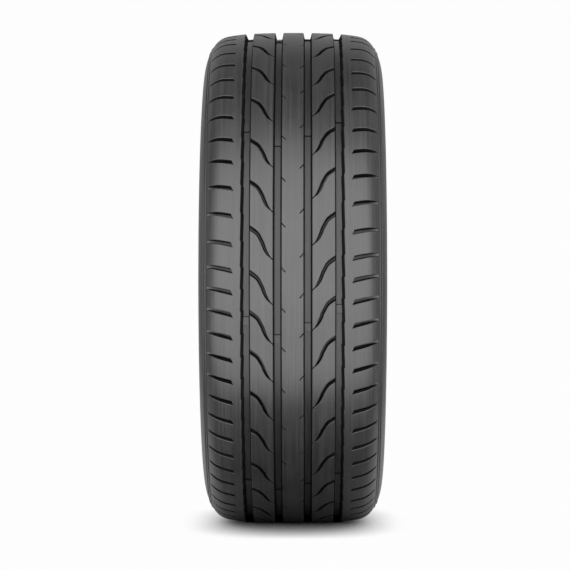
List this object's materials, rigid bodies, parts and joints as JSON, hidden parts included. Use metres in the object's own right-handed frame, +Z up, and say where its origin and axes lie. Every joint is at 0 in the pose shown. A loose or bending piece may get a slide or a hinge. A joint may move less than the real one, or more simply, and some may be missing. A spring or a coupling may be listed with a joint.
{
  "type": "car tyre",
  "caption": "Low-profile radial car tyre with round grooves, curved slash grooves and tapering shoulder slots, standing upright on its tread.",
  "frame": {"origin": "centre of the wheel, on the axle line and midway between the beads", "axes": "+Y along the axle, +Z up, +X towards the stretch of tread that faces the viewer; the ground's flat is at the lowest point, across -Z"},
  "size_m": [0.6342, 0.2258, 0.6327],
  "materials": {
    "tyre_rubber": "black cured rubber, satin, with fine moulding marks"
  },
  "bodies": {
    "root": {"tyre": "tyre_rubber"}
  },
  "joints": []
}
